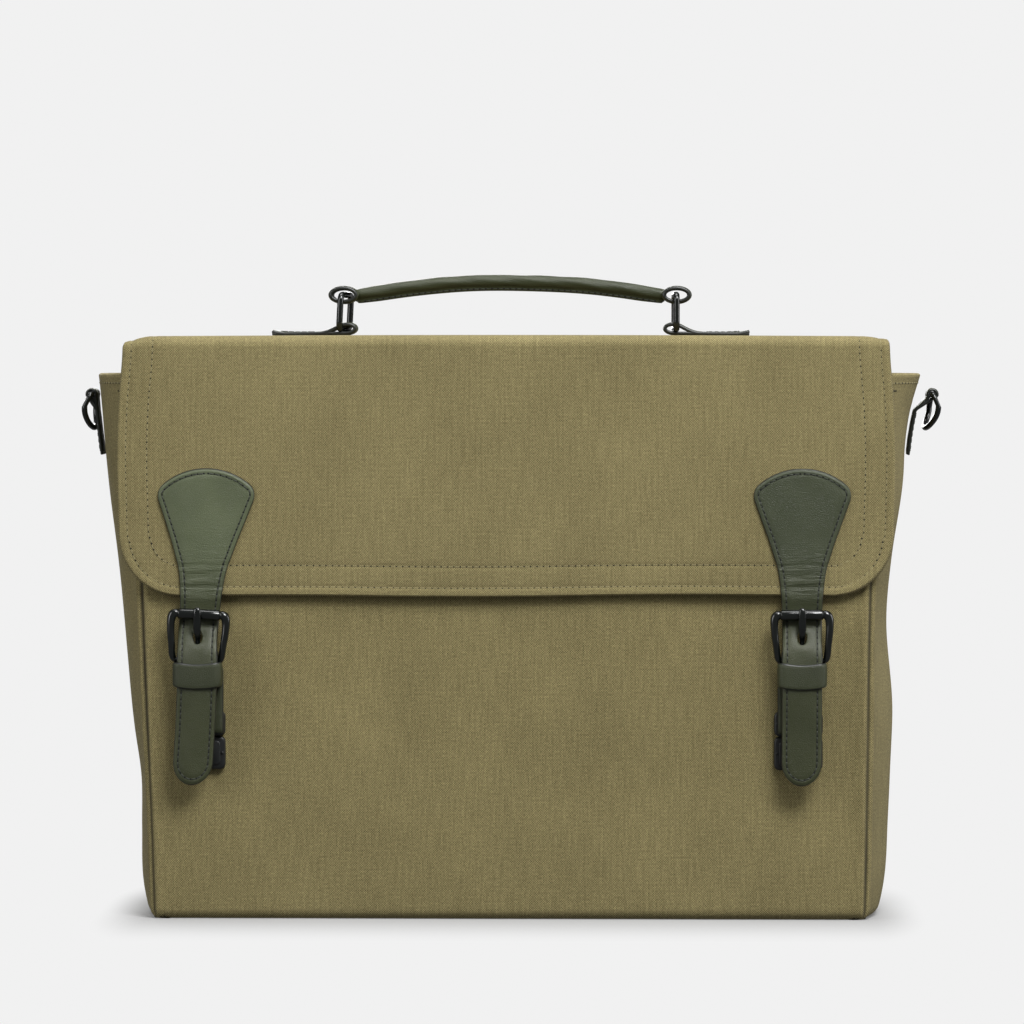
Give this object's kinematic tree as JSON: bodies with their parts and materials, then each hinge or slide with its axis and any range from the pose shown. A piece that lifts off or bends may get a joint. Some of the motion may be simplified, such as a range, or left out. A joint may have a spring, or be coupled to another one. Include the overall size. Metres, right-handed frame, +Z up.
{
  "type": "messenger bag",
  "caption": "Boxy canvas flap bag with bowed side panels, buckled leather straps over snap clasps, a padded divider and a leather handle on wire links.",
  "frame": {"origin": "centre of the base underside, on the surface that the bag stands on", "axes": "+X to the right seen from the front, -Y out of the front face, +Z up"},
  "size_m": [0.4472, 0.1178, 0.335],
  "materials": {
    "canvas": "heavy woven cotton",
    "leather": "semi-gloss",
    "black_metal": "gloss black",
    "lining": "fine woven",
    "board": "matt"
  },
  "bodies": {
    "bag": {"front_panel": "canvas", "back_panel": "canvas", "bottom_panel": "canvas", "base_board": "board", "lining": "lining", "laptop_divider": "lining", "inner_pocket": "lining", "gusset_left": "canvas", "gusset_right": "canvas", "shoulder_tab_left": "leather", "shoulder_tab_right": "leather", "clasp_base_left": "black_metal", "clasp_base_right": "black_metal"},
    "flap_top": {"flap_roof": "canvas", "handle_tab_left": "leather", "handle_tab_right": "leather"},
    "flap_front": {"flap_face": "canvas", "fan_patch_left": "leather", "fan_patch_right": "leather"},
    "strap_left": {"billet_left": "leather", "buckle_frame_left": "black_metal", "chape_left": "leather", "keeper_left": "leather", "clasp_plate_left": "black_metal"},
    "strap_right": {"billet_right": "leather", "buckle_frame_right": "black_metal", "chape_right": "leather", "keeper_right": "leather", "clasp_plate_right": "black_metal"},
    "roller_left": {"roller_left": "black_metal"},
    "roller_right": {"roller_right": "black_metal"},
    "prong_left": {"prong_left": "black_metal"},
    "prong_right": {"prong_right": "black_metal"},
    "link_left": {"handle_link_left": "black_metal"},
    "link_right": {"handle_link_right": "black_metal"},
    "handle": {"handle_wrap": "leather", "handle_core": "board", "handle_loop_left": "leather", "handle_loop_right": "leather"},
    "ring_left": {"shoulder_ring_left": "black_metal"},
    "ring_right": {"shoulder_ring_right": "black_metal"}
  },
  "joints": [
    {"name": "flap_hinge", "type": "hinge", "parent": "bag", "child": "flap_top", "pos_m": [0, 0.049, 0.299], "axis": [-1, 0, 0], "range_deg": [0, 200]},
    {"name": "flap_fold", "type": "hinge", "parent": "flap_top", "child": "flap_front", "pos_m": [0, -0.0535, 0.299], "axis": [-1, 0, 0], "range_deg": [0, 85]},
    {"name": "strap_fold_left", "type": "hinge", "parent": "flap_front", "child": "strap_left", "pos_m": [-0.1545, -0.0562, 0.1668], "axis": [-1, 0, 0], "range_deg": [0, 80]},
    {"name": "strap_fold_right", "type": "hinge", "parent": "flap_front", "child": "strap_right", "pos_m": [0.1545, -0.0562, 0.1668], "axis": [-1, 0, 0], "range_deg": [0, 80]},
    {"name": "roller_spin_left", "type": "hinge", "parent": "strap_left", "child": "roller_left", "pos_m": [-0.1545, -0.06, 0.1581], "axis": [1, 0, 0], "continuous": true},
    {"name": "roller_spin_right", "type": "hinge", "parent": "strap_right", "child": "roller_right", "pos_m": [0.1545, -0.06, 0.1581], "axis": [1, 0, 0], "continuous": true},
    {"name": "prong_tilt_left", "type": "hinge", "parent": "strap_left", "child": "prong_left", "pos_m": [-0.1545, -0.06, 0.1344], "axis": [1, 0, 0], "range_deg": [0, 8]},
    {"name": "prong_tilt_right", "type": "hinge", "parent": "strap_right", "child": "prong_right", "pos_m": [0.1545, -0.06, 0.1344], "axis": [1, 0, 0], "range_deg": [0, 8]},
    {"name": "handle_swing", "type": "hinge", "parent": "flap_top", "child": "link_left", "pos_m": [-0.0865, -0.002, 0.3051], "axis": [0, 1, 0], "range_deg": [-60, 60]},
    {"name": "handle_level", "type": "hinge", "parent": "link_left", "child": "handle", "pos_m": [-0.0865, -0.002, 0.3229], "axis": [0, 1, 0], "range_deg": [-60, 60]},
    {"name": "link_swing_right", "type": "hinge", "parent": "flap_top", "child": "link_right", "pos_m": [0.0865, -0.002, 0.3051], "axis": [0, 1, 0], "range_deg": [-60, 60]},
    {"name": "ring_swing_left", "type": "hinge", "parent": "bag", "child": "ring_left", "pos_m": [-0.2201, 0, 0.271], "axis": [0, 1, 0], "range_deg": [-8, 150]},
    {"name": "ring_swing_right", "type": "hinge", "parent": "bag", "child": "ring_right", "pos_m": [0.2201, 0, 0.271], "axis": [0, -1, 0], "range_deg": [-8, 150]}
  ],
  "couplings": [
    {"joint": "handle_level", "follows": "handle_swing", "ratio": -1},
    {"joint": "link_swing_right", "follows": "handle_swing", "ratio": 1}
  ]
}
